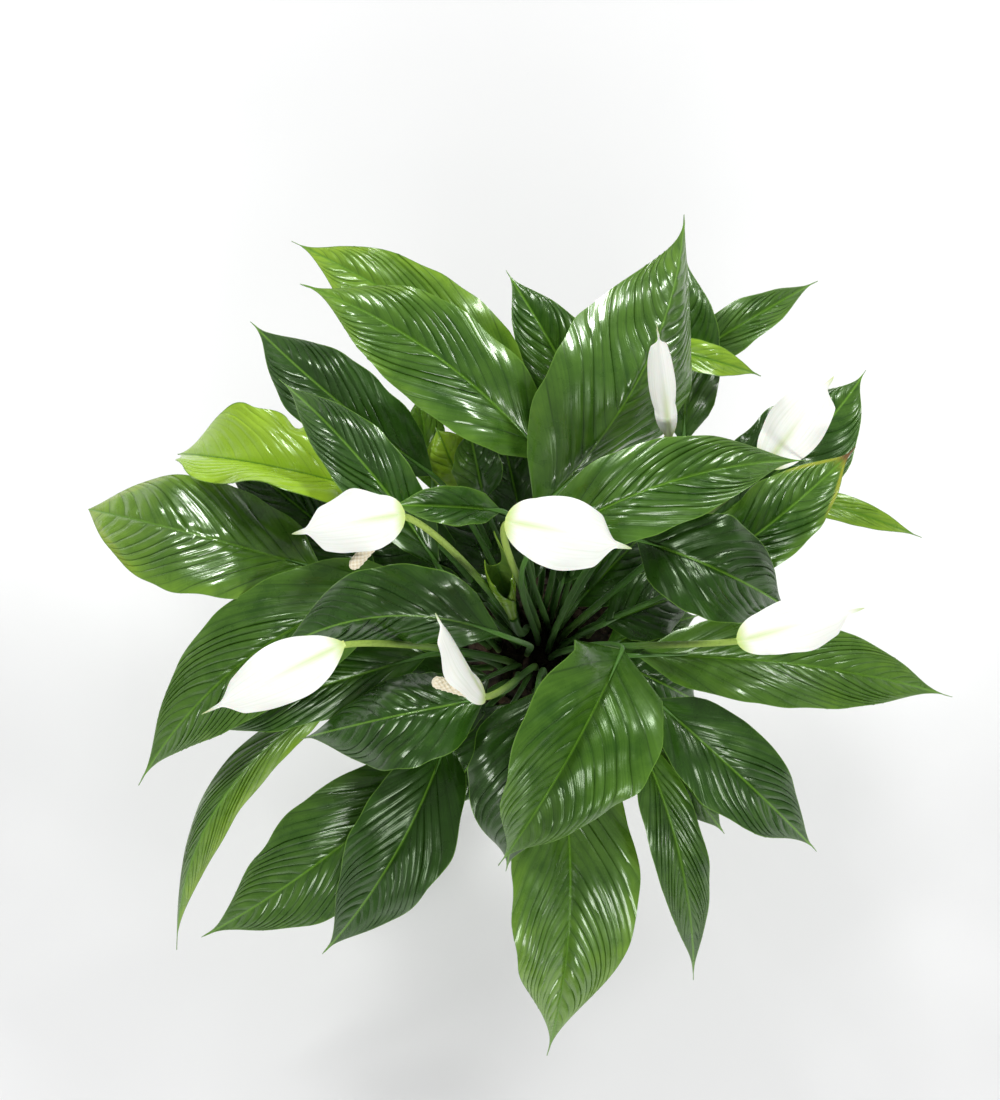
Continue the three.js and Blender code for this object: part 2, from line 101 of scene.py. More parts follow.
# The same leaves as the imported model's. light: 0 is the darkest green, 1 the palest. gold: how far
# the tip and the margins turn yellow. half: 1 lightens only the left half, -1 only the right.
# brown: how dry the tip is. gloss: how much the blade shines. wavy: how much its margins wave.
# taper: 1 for a drawn-out tip, 0 for a blunt one. wide: where the blade is widest. ease: the share
# of its stalk that runs in line with the blade.
LEAVES = [
    dict(name="leaf_01", foot=(-1, 36), base=(-10, 170, 345), tip=(-170, 270, 330),
         width=58, arch=35, fold=6, light=0.52, gold=0.75),
    dict(name="leaf_02", foot=(2, 28), base=(0, 115, 395), tip=(-160, 230, 390),
         width=68, arch=30, bow=-10, fold=10, light=0.32, gold=0.75, gloss=1.4),
    dict(name="leaf_03", foot=(6, 20), base=(-5, 80, 390), tip=(90, 270, 420),
         width=110, arch=40, bow=-22, roll=28, fold=-28, light=0.34, gold=0.35, gloss=1.9),
    dict(name="leaf_04", foot=(9, 36), base=(40, 140, 300), tip=(-25, 250, 330),
         width=50, arch=20, fold=10, light=0.3),
    dict(name="leaf_05", foot=(15, 21), base=(95, 135, 320), tip=(95, 255, 360),
         width=46, arch=20, fold=8, light=0.28),
    dict(name="leaf_06", foot=(22, 31), base=(75, 175, 320), tip=(190, 250, 290),
         width=32, arch=25, fold=15, light=0.35, gold=0.3),
    dict(name="leaf_07", foot=(8, 25), base=(70, 190, 375), tip=(145, 175, 350),
         width=22, arch=15, fold=15, light=0.75, gold=0.4, young=True),
    dict(name="leaf_08", foot=(-23, 28), base=(-75, 108, 275), tip=(-85, 172, 300),
         width=30, arch=15, fold=15, light=0.5, gold=0.4),
    dict(name="leaf_09", foot=(-16, 23), base=(-75, 110, 345), tip=(-200, 220, 300),
         width=58, arch=25, bow=5, fold=8, light=0.16, gold=0.15),
    dict(name="leaf_10", foot=(-16, 7), base=(-70, 45, 400), tip=(-175, 170, 370),
         width=45, arch=35, bow=-5, fold=8, light=0.2, gold=0.15, gloss=1.6),
    dict(name="leaf_11", foot=(-26, 20), base=(-115, 96, 370), tip=(-250, 130, 290),
         width=76, arch=40, roll=28, fold=32, wide=0.45, taper=0.5, light=1.0, gold=0.5,
         wavy=2.8, young=True),
    dict(name="leaf_12", foot=(-37, 6), base=(-150, 48, 320), tip=(-315, 95, 260),
         width=82, arch=30, roll=10, fold=-4, wide=0.5, taper=0.35, light=0.42, gold=0.8,
         gloss=1.9, wavy=0.7),
    dict(name="leaf_13", foot=(-38, 16), base=(-115, 50, 298), tip=(-230, 145, 264),
         width=50, arch=20, fold=8, light=0.12),
    dict(name="leaf_14", foot=(-30, 10), base=(-86, 38, 350), tip=(-283, -96, 220),
         width=76, arch=35, bow=-22, fold=8, light=0.32, gold=0.35),
    dict(name="leaf_15", foot=(-9, 1), base=(-30, 0, 400), tip=(-180, -10, 345),
         width=68, arch=40, bow=-15, roll=-32, fold=-32, light=0.2),
    dict(name="leaf_16", foot=(-27, -11), base=(-80, -10, 320), tip=(-250, -60, 260),
         width=46, arch=25, fold=-8, light=0.25, gold=0.1),
    dict(name="leaf_17", foot=(-35, -9), base=(-145, -40, 270), tip=(-265, -215, 130),
         width=38, arch=40, bow=-26, fold=-40, light=0.4, gold=0.3, half=1),
    dict(name="leaf_18", foot=(-27, -28), base=(-70, -75, 250), tip=(-245, -205, 150),
         width=80, arch=30, bow=9, fold=6, light=0.3, gold=0.25),
    dict(name="leaf_19", foot=(-22, -20), base=(-65, -65, 300), tip=(-155, -215, 190),
         width=68, arch=35, bow=10, fold=6, light=0.14, gold=0.15, gloss=0.3),
    dict(name="leaf_20", foot=(-16, -15), base=(-40, -40, 360), tip=(-165, -65, 290),
         width=72, arch=35, roll=18, fold=-22, light=0.2),
    dict(name="leaf_21", foot=(-9, 35), base=(-40, 95, 330), tip=(-50, 140, 360),
         width=34, arch=10, fold=15, light=0.12, half=1),
    dict(name="leaf_22", foot=(3, -16), base=(-5, -36, 335), tip=(-25, -155, 268),
         width=74, arch=35, fold=6, light=0.1),
    dict(name="leaf_23", foot=(8, -2), base=(50, -10, 390), tip=(-30, -150, 330),
         width=100, arch=45, bow=4, roll=-22, fold=22, wide=0.35, light=0.3, gold=0.4,
         gloss=0.3, ease=0.05),
    dict(name="leaf_24", foot=(5, -26), base=(10, -65, 258), tip=(5, -290, 145),
         width=95, arch=45, bow=12, roll=-12, fold=18, light=0.4, gold=0.7, gloss=1.4),
    dict(name="leaf_25", foot=(20, -28), base=(65, -65, 290), tip=(110, -235, 160),
         width=38, arch=35, bow=8, fold=10, light=0.3, gold=0.1),
    dict(name="leaf_26", foot=(23, -15), base=(75, -40, 320), tip=(192, -142, 230),
         width=60, arch=30, fold=6, light=0.22),
    dict(name="leaf_27", foot=(28, -22), base=(70, -60, 240), tip=(130, -130, 200),
         width=34, arch=20, fold=10, light=0.35),
    dict(name="leaf_28", foot=(27, -8), base=(65, -10, 325), tip=(285, -35, 250),
         width=60, arch=35, bow=6, fold=8, light=0.4, gold=0.2),
    dict(name="leaf_29", foot=(6, 3), base=(60, 60, 410), tip=(165, 20, 330),
         width=68, arch=40, fold=8, light=0.1, gloss=0.3),
    dict(name="leaf_30", foot=(28, 15), base=(100, 40, 330), tip=(210, 130, 330),
         width=52, arch=25, bow=-4, fold=8, light=0.24, gold=0.95, brown=1.0),
    dict(name="leaf_31", foot=(28, 22), base=(110, 80, 290), tip=(220, 185, 310),
         width=72, arch=25, bow=-9, fold=8, light=0.22, gold=0.2),
    dict(name="leaf_32", foot=(35, 14), base=(155, 110, 260), tip=(268, 78, 230),
         width=20, arch=20, fold=15, light=0.75, gold=0.3, young=True),
    dict(name="leaf_33", foot=(-1, 9), base=(-3, 56, 430), tip=(170, 110, 420),
         width=58, arch=40, bow=10, fold=8, wide=0.36, light=0.33, gold=0.25, gloss=1.3),
    dict(name="leaf_34", foot=(-16, 32), base=(-55, 105, 320), tip=(-72, 142, 340),
         width=36, arch=10, fold=15, light=0.95, gold=0.5, young=True),
    dict(name="leaf_35", foot=(-5, 27), base=(-30, 80, 400), tip=(-100, 80, 432),
         width=28, arch=12, fold=25, light=0.2, gold=0.6),
    dict(name="leaf_36", foot=(21, 8), base=(47, 2, 235), tip=(112, 24, 224),
         width=36, arch=15, fold=10, light=0.3),
]

# The ones that close the heart of the clump, under all the others: dark greens, partly their own tone and
# partly painted shade.
INNER_LEAVES = [
    dict(name="inner_leaf_1", foot=(-20, 14), base=(-58, 48, 255), tip=(-132, 88, 262),
         width=54, arch=14, fold=8, light=0.1),
    dict(name="inner_leaf_2", foot=(-6, 34), base=(-14, 84, 285), tip=(-34, 168, 296),
         width=62, arch=14, fold=8, light=0.08),
    dict(name="inner_leaf_3", foot=(14, 28), base=(30, 76, 270), tip=(66, 152, 275),
         width=54, arch=14, fold=8, light=0.1),
    dict(name="inner_leaf_4", foot=(-30, 4), base=(-66, 22, 240), tip=(-140, 30, 236),
         width=52, arch=14, fold=8, light=0.12),
]
LOW_LEAVES = 15  # the small dark ones round the foot of the clump
GOLDEN_TURN = math.radians(137.5)

# The unopened leaf at the heart of the clump.
SPEAR = dict(name="leaf_37", foot=(-9, 20), base=(-20, 17, 290), tip=(-36, 66, 380), arch=6)

# droop: how far the spike hangs below its hood. swing: how far it stands off to the left.
# spike: its length. slim: how lens-shaped the hood is. wavy: how uneven the hood is.
FLOWERS = [
    dict(name="flower_1", foot=(-15, 13), base=(-88, 70, 475), tip=(-160, 60, 450),
         width=42, arch=9, fold=-22, droop=36, swing=42, spike=44, wavy=2.6),
    dict(name="flower_2", foot=(-1, 17), base=(-26, 64, 495), tip=(53, 49, 470),
         width=48, arch=10, fold=-20, droop=28, spike=42),
    dict(name="flower_3", foot=(-17, -8), base=(-127, -8, 435), tip=(-220, -52, 408),
         width=43, arch=10, fold=-20, droop=28, spike=44, slim=1),
    dict(name="flower_4", foot=(-3, -9), base=(-38, -42, 430), tip=(-69, 9, 470),
         width=38, arch=8, roll=68, fold=-24, droop=44, spike=28, wavy=2),
    dict(name="flower_5", foot=(9, 15), base=(78, 120, 450), tip=(66, 180, 530),
         width=27, arch=6, fold=-50, droop=24, spike=30, slim=1),
    dict(name="flower_6", foot=(14, 11), base=(141, 107, 415), tip=(182, 160, 450),
         width=40, arch=8, fold=-20, droop=28, spike=36),
    dict(name="flower_7", foot=(19, 1), base=(121, -7, 435), tip=(203, 15, 425),
         width=38, arch=8, fold=-22, droop=32, swing=-14, spike=40, wavy=2.2),
]


# ---- small tools ----
def in_metres(row):
    """A row of a table with its places and lengths in metres and its angles in radians."""
    shape = dict(bow=0, roll=0, fold=0, wide=WIDEST_AT, taper=1.0, slim=HOOD_SLIM,
                 light=0.3, gold=0.0, half=0, brown=0.0, gloss=1.0, wavy=1.0)
    shape.update(row)
    shape["foot"] = np.array([*row["foot"], 0.0]) * MM + UP * SOIL_TOP
    for name in ("base", "tip"):
        shape[name] = np.array(row[name], float) * MM
    for name in ("width", "arch", "bow", "spike"):
        shape[name] = shape.get(name, 0) * MM
    for name in ("roll", "fold", "droop", "swing"):
        shape[name] = math.radians(shape.get(name, 0))
    return shape


def unit(vectors):
    return vectors / np.linalg.norm(vectors, axis=-1, keepdims=True)


def smooth_step(low, high, value):
    t = np.clip((value - low) / (high - low), 0, 1)
    return t * t * (3 - 2 * t)


def deselect():
    bpy.ops.object.select_all(action="DESELECT")


def select_only(*pieces):
    deselect()
    for piece in pieces:
        piece.select_set(True)
    bpy.context.view_layer.objects.active = pieces[0]


def points_of(piece):
    flat = np.zeros(len(piece.data.vertices) * 3)
    piece.data.vertices.foreach_get("co", flat)
    return flat.reshape(-1, 3)


def move_points(piece, points):
    piece.data.vertices.foreach_set("co", np.asarray(points, float).ravel())
    piece.data.update()


def apply_modifier(piece, kind, **settings):
    select_only(piece)
    bpy.ops.object.modifier_add(type=kind)
    modifier = piece.modifiers[-1]
    for name, value in settings.items():
        setattr(modifier, name, value)
    bpy.ops.object.modifier_apply(modifier=modifier.name)


def join(*pieces):
    select_only(*pieces)
    bpy.ops.object.join()
    return pieces[0]


def smooth(piece, degrees=50):
    select_only(piece)
    bpy.ops.object.shade_smooth_by_angle(angle=math.radians(degrees))


def settle(piece, name):
    """The piece rides with the plant's one body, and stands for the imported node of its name, if any."""
    piece.name = name + "_grown"
    piece.data.name = piece.name
    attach(piece, "root")
    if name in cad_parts:
        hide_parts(name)


def set_value(piece, name, values):
    attribute = piece.data.attributes.new(name, "FLOAT", "POINT")
    attribute.data.foreach_set("value", np.asarray(values, float))


def set_map(piece, across, along):
    """The piece's own map: across from 0 to 1, along in whatever the pattern counts."""
    layer = piece.data.uv_layers[0]
    corners = np.zeros(len(piece.data.loops), int)
    piece.data.loops.foreach_get("vertex_index", corners)
    layer.data.foreach_set("uv", np.stack([across, along], axis=1)[corners].ravel())


# ---- curves and sections ----
def along_curve(controls, u):
    """Points and unit directions at the fractions u of a Bezier curve of any degree."""
    t = u[:, None]
    levels = [np.outer(np.ones_like(u), control) for control in controls]
    while len(levels) > 2:
        levels = [a * (1 - t) + b * t for a, b in zip(levels, levels[1:])]
    start, end = levels
    return start * (1 - t) + end * t, unit(end - start)


def midrib_of(shape):
    """The midrib's three control points, and the direction to its left seen from above."""
    base, tip = shape["base"], shape["tip"]
    heading = unit((tip - base) * [1, 1, 0])
    left = np.array([-heading[1], heading[0], 0.0])
    control = (base + tip) / 2 + 2 * shape["arch"] * UP + 2 * shape["bow"] * left
    return [base, control, tip], left


def frame_along(controls, left, u, roll):
    point, along = along_curve(controls, u)
    side = unit(left - (along @ left)[:, None] * along)
    face = np.cross(along, side)
    cos, sin = np.cos(roll)[:, None], np.sin(roll)[:, None]
    return point, along, side * cos + face * sin, face * cos - side * sin


def outline(u, widest, taper):
    """The half width of a blade of unit half width. taper: 1 draws the tip out, 0 leaves it blunt."""
    bend = math.log(0.5) / math.log(widest)
    return np.clip(np.sin(np.pi * u ** bend), 0, 1) ** (0.35 + 0.4 * taper + 1.4 * taper * u ** 5)


def hood_outline(u, slim):
    """The same for a hood: pinched to a narrow tail at its tip. slim: how lens-shaped it is."""
    pinch = 1 - 0.8 * smooth_step(TAIL_STARTS, TAIL_STARTS + 0.12, u)
    return pinch * np.clip(np.sin(np.pi * u ** 0.8), 0, 1) ** slim


def stalk_handles(foot, end, direction, ease):
    """A stalk rises from the soil, leans out and runs straight on into whatever it carries."""
    lift = foot + UP * (end[2] - foot[2]) / 2
    return lift, end - direction * ease * np.linalg.norm(end - foot)


def make_round(knots, radii, material, steps=22, sides=3):
    """A round solid along Bezier knots, each given as (handle before, place, handle after)."""
    deselect()
    bpy.ops.curve.primitive_bezier_curve_add(location=(0, 0, 0))
    piece = bpy.context.object
    spline = piece.data.splines[0]
    spline.bezier_points.add(len(knots) - 2)
    for bezier, (before, place, after), radius in zip(spline.bezier_points, knots, radii):
        bezier.handle_left_type = bezier.handle_right_type = "FREE"
        bezier.co, bezier.handle_left, bezier.handle_right = place, before, after
        bezier.radius = radius / MM
    piece.data.bevel_depth = MM
    piece.data.bevel_resolution = sides
    piece.data.resolution_u = steps
    piece.data.use_fill_caps = True
    piece.data.materials.append(material)
    bpy.ops.object.convert(target="MESH")
    piece = bpy.context.object
    smooth(piece)
    return piece


# ---- leaves ----
def make_blade(shape, number, hand, materials):
    """A quilted blade: the rows of its grid follow the side veins, which sweep towards the tip."""
    controls, left = midrib_of(shape)
    length = np.linalg.norm(shape["tip"] - shape["base"]) + shape["arch"] / 2
    veins = int(np.clip(round(length / VEIN_SPACING), FEWEST_VEINS, MOST_VEINS))
    deselect()
    bpy.ops.mesh.primitive_grid_add(
        x_subdivisions=COLUMNS, y_subdivisions=veins * ROWS_PER_VEIN, size=2)
    blade = bpy.context.object
    flat = points_of(blade)
    s = -np.sign(flat[:, 0]) * np.abs(flat[:, 0]) ** 1.45
    v = (flat[:, 1] + 1) / 2
    u = np.clip(v + VEIN_SWEEP * np.abs(s) ** 1.15 * v ** 0.5 * (1 - v) ** 1.5, 0, 1)
    opened = np.minimum(1, u / 0.16)
    half = shape["width"] / 2 * outline(u, shape["wide"], shape["taper"])
    half = np.maximum(half, STALK_RADIUS * (1 - u))
    sway = hand.uniform(0, 50)
    edge = [noise.noise(Vector((a * 7 + sway, b, 3.0))) for a, b in zip(u, np.sign(s))]
    half = np.maximum(half * (1 + EDGE_SWAY * shape["wavy"] * np.array(edge) * s * s), SHARPEST)
    reach = np.abs(s) * half
    margin = half - reach
    point, along, side, face = frame_along(controls, left, u, shape["roll"] * opened)
    fold = shape["fold"] * opened
    phase = v * veins + np.where(s > 0, 0.0, 0.45)

    out = reach * np.sin(fold) + CROWN * opened * half * (np.abs(s) - s * s)
    height = np.array([hand.uniform(0.3, 1.6) for _ in range(2 * (veins + 2))])
    which = np.floor(phase).astype(int) + np.where(s > 0, 0, veins + 2)
    pillow = (np.abs(np.sin(np.pi * phase)) ** 0.6 - 0.5) * height[which]
    ends = np.sin(np.pi * u) ** 0.5
    calm = smooth_step(0, 3 * MM, reach) * smooth_step(0, 4 * MM, margin) * ends
    spacing = length / veins
    out += QUILT * spacing * pillow * calm * np.minimum(1, half / (18 * MM))
    out -= MIDRIB_GROOVE * np.exp(-(reach / MIDRIB_GROOVE) ** 2) * (1 - u) * opened
    drift = hand.uniform(0, 50)
    uneven = [noise.noise(Vector((a * 3.0 + drift, b * 9.0, 7.0))) for a, b in zip(s, phase)]
    out += QUILT * spacing * 0.5 * np.array(uneven) * calm
    cockle = [noise.noise(Vector((a * 2.2 + drift, b * 5.0, 0))) for a, b in zip(s, u)]
    out += COCKLE * half * np.array(cockle) * ends * smooth_step(0, 6 * MM, reach)
    ripple = hand.uniform(0.03, 0.05) * shape["width"] * shape["wavy"]
    for sign in (1, -1):
        beat, start = hand.uniform(1.4, 2.6), hand.random()
        wave = np.sin(2 * np.pi * (beat * u + start)) * np.sin(np.pi * u)
        out += np.where(s * sign > 0, ripple * np.abs(s) ** 2.2 * wave, 0)
    across = s * half * np.cos(fold)
    move_points(blade, point + side * across[:, None] + face * out[:, None])

    pale = np.clip(shape["half"] * s, 0, 1) ** 0.3 * 0.35
    set_value(blade, "light", shape["light"] + pale)
    tips = smooth_step(0.45, 1, u) + 0.6 * smooth_step(0.6, 1, np.abs(s))
    set_value(blade, "gold", shape["gold"] * np.clip(tips, 0, 1))
    set_value(blade, "brown", shape["brown"] * smooth_step(0.87, 0.93, u))
    set_value(blade, "rib", reach / MM)
    set_value(blade, "margin", margin / MM)
    set_value(blade, "gloss", shape["gloss"] + 0 * u)
    set_map(blade, (s + 1) / 2, phase + 40 * number)
    for material in materials:
        blade.data.materials.append(material)
    apply_modifier(blade, "SOLIDIFY", thickness=BLADE_THICK, offset=-1, material_offset=1)
    smooth(blade)
    return blade


def make_leaf(row, number, looks):
    shape = in_metres(row)
    hand = random.Random(number)
    upper = looks["young upper"] if row.get("young") else looks["upper"]
    blade = make_blade(shape, number, hand, [upper, looks["under"]])
    (base, control, tip), left = midrib_of(shape)
    ease = row.get("ease", STALK_EASE)
    lift, approach = stalk_handles(shape["foot"], base, unit(control - base), ease)
    runs_in = 2 * STALK_EASE * (control - base)
    keel = -1.2 * MM * UP
    knots = [
        (shape["foot"], shape["foot"] - BURIED * UP, lift),
        (approach, base, base + runs_in / 3),
        (base + runs_in * 2 / 3 + keel, base + runs_in + keel * 1.5, base + runs_in),
    ]
    stalk = make_round(knots, [STALK_FOOT, STALK_TOP, 0.3 * MM], looks["leaf stalk"])
    leaf = join(blade, stalk)
    settle(leaf, row["name"])


def make_low_leaves(looks):
    """Small leaves close over the pot, set round the clump as they grow, a golden turn apart; their dark
    greens are partly their own tone and partly painted shade.
    """
    for number, row in enumerate(INNER_LEAVES, start=1):
        make_leaf(row, 80 + number, looks)
    hand = random.Random(11)
    for number in range(1, LOW_LEAVES + 1):
        turn = number * GOLDEN_TURN
        out = np.array([math.cos(turn), math.sin(turn)])
        aside = np.array([-out[1], out[0]]) * hand.uniform(-14, 14)
        base, tip = hand.uniform(40, 58), hand.uniform(112, 138)
        rise = hand.uniform(205, 262)
        # Their light is kept low: dark greens, partly their own tone and partly painted shade.
        row = dict(
            name=f"low_leaf_{number:02d}", foot=tuple(out * hand.uniform(12, 38)),
            base=(*(out * base), rise), tip=(*(out * tip + aside), rise - hand.uniform(5, 45)),
            width=hand.uniform(46, 64), arch=hand.uniform(14, 24), fold=hand.uniform(4, 16),
            light=hand.uniform(0.02, 0.22))
        make_leaf(row, 60 + number, looks)


def make_spear(looks):
    """The rolled leaf: one blade wound round itself, opening to a funnel with two drawn-out tips."""
    shape = in_metres(SPEAR)
    controls, left = midrib_of(shape)
    base, control, tip = controls
    deselect()
    bpy.ops.mesh.primitive_grid_add(x_subdivisions=60, y_subdivisions=90, size=2)
    blade = bpy.context.object
    flat = points_of(blade)
    x = flat[:, 0]
    long_tip = np.exp(-((x + 0.45) / 0.2) ** 2)
    short_tip = np.exp(-((x - 0.55) / 0.25) ** 2)
    u = (flat[:, 1] + 1) / 2 * (0.52 + 0.48 * long_tip + 0.2 * short_tip)
    turn = x * np.pi * (1.3 - 0.5 * smooth_step(0.15, 0.5, u))
    swell = smooth_step(0.0, 0.5, u) - 0.75 * smooth_step(0.55, 1.0, u)
    radius = (2.6 + 5.6 * swell) * MM
    radius = radius * (1 + 0.22 * (x + 1) / 2)
    point, along, side, face = frame_along(controls, left, u, 0 * u)
    phase = u * SPEAR_VEINS + 0.9 * np.abs(x)
    relief = 0.35 * MM * (np.abs(np.sin(np.pi * phase)) ** 0.5 - 0.5) * np.sin(np.pi * u)
    wall = radius + relief
    place = point + side * (np.sin(turn) * wall)[:, None] - face * (np.cos(turn) * wall)[:, None]
    move_points(blade, place)
    set_value(blade, "light", 0.8 + 0 * u)
    set_value(blade, "gold", 0.3 * u)
    set_value(blade, "brown", 0 * u)
    set_value(blade, "rib", np.abs(turn) * radius / MM)
    set_value(blade, "margin", 8 * (1 - np.abs(x)) + 0.2)
    set_value(blade, "gloss", 0.6 + 0 * u)
    set_map(blade, (1 - x) / 2, phase)
    blade.data.materials.append(looks["young upper"])
    blade.data.materials.append(looks["under"])
    apply_modifier(blade, "SOLIDIFY", thickness=0.5 * MM, offset=-1, material_offset=1)
    smooth(blade)
    lift, approach = stalk_handles(shape["foot"], base, unit(control - base), 0.3)
    knots = [
        (shape["foot"], shape["foot"] - BURIED * UP, lift),
        (approach, base + 4 * MM * UP, base + 6 * MM * UP),
    ]
    stalk = make_round(knots, [STALK_FOOT, 3.2 * MM], looks["leaf stalk"])
    settle(join(blade, stalk), SPEAR["name"])


# ---- flowers ----
def make_hood(shape, hand, looks):
    """A white hood: cupped along its midrib, faintly pleated, and uneven along its margins."""
    controls, left = midrib_of(shape)
    deselect()
    bpy.ops.mesh.primitive_grid_add(x_subdivisions=32, y_subdivisions=70, size=2)
    hood = bpy.context.object
    flat = points_of(hood)
    s, u = -flat[:, 0], (flat[:, 1] + 1) / 2
    drift = hand.uniform(0, 50)
    half = shape["width"] / 2 * hood_outline(u, shape["slim"])
    half = np.maximum(half, FLOWER_STALK_RADIUS * (1 - u))
    uneven = [noise.noise(Vector((3 * a, b, drift))) for a, b in zip(u, np.sign(s))]
    uneven = HOOD_SWAY * shape["wavy"] * np.array(uneven) * np.abs(s)
    half = np.maximum(half * (1 + uneven), SHARPEST)
    opened = np.minimum(1, u / 0.2)
    fold = shape["fold"] * opened
    point, along, side, face = frame_along(controls, left, u, shape["roll"] + 0 * u)
    bend = np.abs(s) ** 1.5
    out = half * np.sin(fold) * bend
    across = half * s * np.cos(fold * np.abs(s) ** 0.5)
    out += 0.14 * MM * np.cos(2 * np.pi * 6 * np.abs(s)) * np.sin(np.pi * u) * (1 - bend)
    out -= 0.5 * MM * np.exp(-(s * half / (1.2 * MM)) ** 2) * (1 - u)
    for sign in (1, -1):
        beat, start = hand.uniform(1.2, 2.2), hand.random()
        wave = np.sin(2 * np.pi * (beat * u + start)) * np.sin(np.pi * u)
        out += np.where(s * sign > 0, 0.045 * shape["width"] * np.abs(s) ** 2.5 * wave, 0)
    move_points(hood, point + side * across[:, None] + face * out[:, None])
    streak = np.exp(-(s * half / (2.2 * MM)) ** 2) * (1 - smooth_step(0.1, 0.6, u))
    set_value(hood, "base", np.maximum(0.9 * (1 - smooth_step(0.0, 0.13, u)), 0.6 * streak))
    set_value(hood, "tip", smooth_step(0.86, 1.0, u))
    set_map(hood, (s + 1) / 2, u)
    hood.data.materials.append(looks["hood"])
    apply_modifier(hood, "SOLIDIFY", thickness=HOOD_THICK, offset=-1)
    smooth(hood)
    return hood


def make_spike(shape, root, direction, looks):
    """A knobbly spike on a smooth neck: rows of small round florets, each row set between the last."""
    deselect()
    bpy.ops.mesh.primitive_uv_sphere_add(segments=84, ring_count=110, radius=1)
    spike = bpy.context.object
    flat = points_of(spike)
    t = 1 - np.arccos(np.clip(flat[:, 2], -1, 1)) / np.pi
    angle = np.arctan2(flat[:, 1], flat[:, 0])
    length = SPIKE_NECK + shape["spike"]
    neck = SPIKE_NECK / length
    body = np.clip((t - neck) / (1 - neck), 0, 1)
    stout = smooth_step(neck * 0.6, neck * 1.5, t)
    end = np.sqrt(np.clip(1 - np.clip((body - 0.86) / 0.14, 0, 1) ** 2, 0, 1))
    widening = SPIKE_RADIUS - 0.35 * MM - SPIKE_WAIST
    radius = (SPIKE_WAIST + widening * stout * (1 - 0.22 * body)) * end
    radius = radius * np.where(t < 0.004, 0, 1)
    florets = np.cos(FLORET_ROUND * angle) * np.cos(np.pi * body * shape["spike"] / FLORET_ROWS)
    radius = radius + FLORET_RELIEF * florets * stout * end
    local = np.stack([np.cos(angle) * radius, np.sin(angle) * radius, t * length], axis=1)
    turn = np.array(Vector(direction).to_track_quat("Z", "Y").to_matrix())
    move_points(spike, local @ turn.T + root)
    # floret_painted_light: 1 on each floret's crown, 0 in the gaps between florets, where the finish
    # paints shade.
    set_value(spike, "floret_painted_light", (florets + 1) / 2 * stout)
    set_value(spike, "neck", 1 - stout)
    spike.data.materials.append(looks["spike"])
    smooth(spike, 80)
    return spike


def make_flower(row, number, looks):
    shape = in_metres(row)
    hand = random.Random(100 + number)
    controls, left = midrib_of(shape)
    hood = make_hood(shape, hand, looks)
    start, along, side, face = frame_along(controls, left, np.zeros(1), np.array([shape["roll"]]))
    start, along, side, face = start[0], along[0], side[0], face[0]
    seat = FLOWER_STALK_RADIUS + HOOD_GAP - 0.5 * MM
    stalk_end = start - face * seat + along * HOOD_SEAT
    lift, approach = stalk_handles(shape["foot"], stalk_end, along, 0.06)
    knots = [
        (shape["foot"], shape["foot"] - BURIED * UP, lift),
        (approach, stalk_end, stalk_end + along * MM),
    ]
    radii = [FLOWER_STALK_RADIUS + 0.5 * MM, FLOWER_STALK_RADIUS]
    stalk = make_round(knots, radii, looks["flower stalk"], steps=40)
    droop, swing = shape["droop"], shape["swing"]
    level = along * math.cos(swing) + side * math.sin(swing)
    direction = level * math.cos(droop) - face * math.sin(droop)
    spike = make_spike(shape, stalk_end - direction * MM, direction, looks)
    settle(hood, f"{row['name']}_spathe")
    settle(stalk, f"{row['name']}_stalk")
    settle(spike, f"{row['name']}_spadix")


# ---- pot and soil ----
def make_pot(looks):
    """A thrown shape, raised ring by ring from its foot, over the lip and down the inside."""
    lean = (POT_RIM_RADIUS - RIM_LIP - POT_FOOT_RADIUS) / POT_HEIGHT
    band = POT_HEIGHT - RIM_BAND
    side = POT_FOOT_RADIUS + lean * band
    rings = [
        (POT_FOOT_RADIUS, 2 * MM),
        (side, band),
        (POT_RIM_RADIUS, band + 2 * MM),
        (POT_RIM_RADIUS, POT_HEIGHT),
        (POT_RIM_RADIUS - POT_WALL - 1 * MM, POT_HEIGHT),
        (side - POT_WALL, band),
        (POT_FOOT_RADIUS - POT_WALL, POT_FLOOR + 3 * MM),
        (POT_FOOT_RADIUS - POT_WALL - 3 * MM, POT_FLOOR),
    ]
    deselect()
    radius, height = POT_FOOT_RADIUS - 2 * MM, 0.0
    bpy.ops.mesh.primitive_circle_add(vertices=128, radius=radius, fill_type="NGON", location=(0, 0, 0))
    pot = bpy.context.object
    bpy.ops.object.mode_set(mode="EDIT")
    for next_radius, next_height in rings:
        bpy.ops.mesh.extrude_region_move(
            TRANSFORM_OT_translate={"value": (0, 0, next_height - height)})
        scale = next_radius / radius
        bpy.ops.transform.resize(value=(scale, scale, 1), center_override=(0, 0, next_height))
        radius, height = next_radius, next_height
    bpy.ops.mesh.select_all(action="SELECT")
    bpy.ops.mesh.normals_make_consistent(inside=False)
    bpy.ops.object.mode_set(mode="OBJECT")
    for number in range(DRAIN_HOLES):
        turn = (number + 0.5) / DRAIN_HOLES * 2 * math.pi
        place = (DRAIN_CIRCLE * math.cos(turn), DRAIN_CIRCLE * math.sin(turn), POT_FLOOR / 2)
        deselect()
        bpy.ops.mesh.primitive_cylinder_add(
            vertices=32, radius=DRAIN_RADIUS, depth=3 * POT_FLOOR, location=place)
        cutter = bpy.context.object
        apply_modifier(pot, "BOOLEAN", operation="DIFFERENCE", object=cutter, solver="EXACT")
        bpy.data.objects.remove(cutter)
    apply_modifier(pot, "BEVEL", width=1.1 * MM, segments=4, limit_method="ANGLE", angle_limit=0.5)
    pot.data.materials.append(looks["glaze"])
    smooth(pot, 40)
    settle(pot, "pot")


